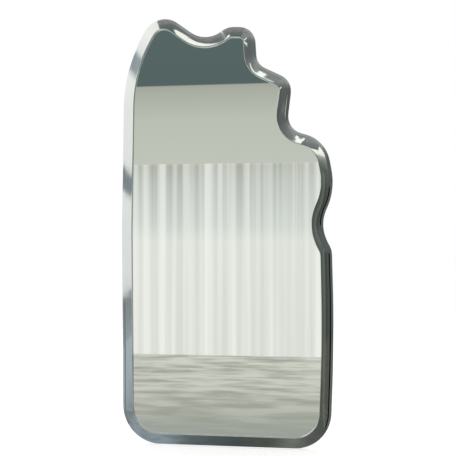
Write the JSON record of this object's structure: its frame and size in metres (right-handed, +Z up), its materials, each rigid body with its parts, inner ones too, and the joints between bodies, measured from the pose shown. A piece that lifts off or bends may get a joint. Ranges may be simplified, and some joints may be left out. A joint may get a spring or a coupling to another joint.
{
  "type": "wall mirror",
  "caption": "Full-length wall mirror with an irregular wavy outline in a polished hollow steel moulding, hung by swinging D-rings on its back board.",
  "frame": {"origin": "on the wall plane, midway between the pins of the two hanger rings", "axes": "+Z up, +X to the right seen from the front, +Y from the mirror towards the wall; the glass faces -Y"},
  "size_m": [0.8946, 0.0394, 1.7999],
  "materials": {
    "polished_steel": "mirror polished stainless sheet",
    "silvered_glass": "clear float glass, silvered behind",
    "board_fibre": "raw medium-density fibreboard",
    "zinc_steel": "zinc plated",
    "cushion_rubber": "soft strip",
    "bumper_rubber": "moulded rubber",
    "foam_tape": "white foam"
  },
  "bodies": {
    "mirror": {"frame_moulding": "polished_steel", "mirror_glass": "silvered_glass", "glass_cushion_strip": "cushion_rubber", "backing_board": "board_fibre", "mounting_tape_1": "foam_tape", "mounting_tape_2": "foam_tape", "mounting_tape_3": "foam_tape", "mounting_tape_4": "foam_tape", "mounting_tape_5": "foam_tape", "mounting_tape_6": "foam_tape", "mounting_tape_7": "foam_tape", "mounting_tape_8": "foam_tape", "retaining_clip_1": "zinc_steel", "retaining_clip_2": "zinc_steel", "retaining_clip_3": "zinc_steel", "retaining_clip_4": "zinc_steel", "retaining_clip_5": "zinc_steel", "retaining_clip_6": "zinc_steel", "retaining_clip_7": "zinc_steel", "retaining_clip_8": "zinc_steel", "retaining_clip_9": "zinc_steel", "retaining_clip_10": "zinc_steel", "retaining_clip_11": "zinc_steel", "retaining_clip_12": "zinc_steel", "clip_screw_1": "zinc_steel", "clip_screw_2": "zinc_steel", "clip_screw_3": "zinc_steel", "clip_screw_4": "zinc_steel", "clip_screw_5": "zinc_steel", "clip_screw_6": "zinc_steel", "clip_screw_7": "zinc_steel", "clip_screw_8": "zinc_steel", "clip_screw_9": "zinc_steel", "clip_screw_10": "zinc_steel", "clip_screw_11": "zinc_steel", "clip_screw_12": "zinc_steel", "hanger_plate_left": "zinc_steel", "hanger_screw_left_1": "zinc_steel", "hanger_screw_left_2": "zinc_steel", "hanger_screw_left_3": "zinc_steel", "hanger_plate_right": "zinc_steel", "hanger_screw_right_1": "zinc_steel", "hanger_screw_right_2": "zinc_steel", "hanger_screw_right_3": "zinc_steel", "wall_bumper_1": "bumper_rubber", "wall_bumper_2": "bumper_rubber", "wall_bumper_3": "bumper_rubber", "wall_bumper_4": "bumper_rubber"},
    "left_ring": {"hanger_ring_left": "zinc_steel"},
    "right_ring": {"hanger_ring_right": "zinc_steel"}
  },
  "joints": [
    {"name": "left_ring_swing", "type": "hinge", "parent": "mirror", "child": "left_ring", "pos_m": [-0.23, -0.0086, 0], "axis": [1, 0, 0], "range_deg": [0, 180]},
    {"name": "right_ring_swing", "type": "hinge", "parent": "mirror", "child": "right_ring", "pos_m": [0.23, -0.0086, 0], "axis": [1, 0, 0], "range_deg": [0, 180]}
  ]
}
